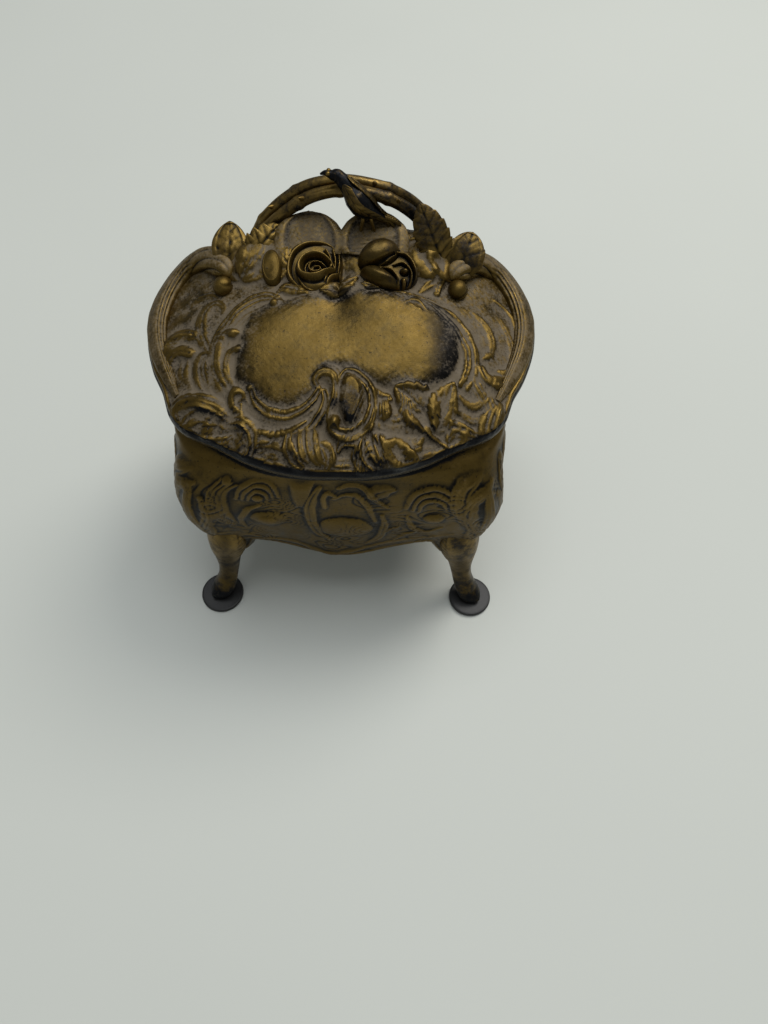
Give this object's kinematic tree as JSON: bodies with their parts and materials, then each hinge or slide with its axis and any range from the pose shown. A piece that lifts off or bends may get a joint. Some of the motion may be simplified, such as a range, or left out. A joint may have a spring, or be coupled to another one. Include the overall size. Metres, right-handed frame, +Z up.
{
  "type": "jewelry casket",
  "caption": "Small footed cast-metal jewelry casket with a hinged domed lid, scrolled and floral relief, an arched branch handle and a padded silk lining.",
  "frame": {"origin": "on the table, midway between the four feet", "axes": "+Z up, +X to the right of a person facing the front, front towards -Y, hinges towards +Y"},
  "size_m": [0.1262, 0.1046, 0.1427],
  "materials": {
    "gilt_casting": "old gilt over a soft-metal casting, satin on the high spots and dark in the recesses",
    "hinge_brass": "dull brass",
    "plate_metal": "dull tinned sheet",
    "black_disc": "black satin, worn to bare metal at the edge",
    "lining_silk": "faded silk over padding"
  },
  "bodies": {
    "casket": {"body_shell": "gilt_casting", "leg_front_left": "gilt_casting", "leg_front_right": "gilt_casting", "leg_rear_left": "gilt_casting", "leg_rear_right": "gilt_casting", "hinge_body_leaf_left": "hinge_brass", "hinge_body_leaf_right": "hinge_brass", "hinge_pin_left": "hinge_brass", "hinge_pin_right": "hinge_brass", "bottom_plate": "plate_metal", "foot_disc_front_left": "black_disc", "foot_disc_front_right": "black_disc", "foot_disc_rear_left": "black_disc", "foot_disc_rear_right": "black_disc", "lining_front": "lining_silk", "lining_rear": "lining_silk", "lining_left": "lining_silk", "lining_right": "lining_silk", "lining_floor": "lining_silk", "lining_cord": "lining_silk"},
    "lid": {"lid_shell": "gilt_casting", "lid_lining": "lining_silk", "hinge_lid_leaf_left": "hinge_brass", "hinge_lid_leaf_right": "hinge_brass", "branch_handle": "gilt_casting", "bird": "gilt_casting", "rose_bloom": "gilt_casting", "rose_bud": "gilt_casting", "petal_rear_left": "gilt_casting", "petal_rear_right": "gilt_casting", "petal_side": "gilt_casting", "leaf_left_outer": "gilt_casting", "leaf_left_inner": "gilt_casting", "leaf_handle": "gilt_casting", "leaf_right_outer": "gilt_casting", "scroll_left": "gilt_casting", "scroll_right": "gilt_casting"}
  },
  "joints": [
    {"name": "lid_hinge", "type": "hinge", "parent": "casket", "child": "lid", "pos_m": [0, 0.04605, 0.0945], "axis": [-1, 0, 0], "range_deg": [0, 100]}
  ]
}
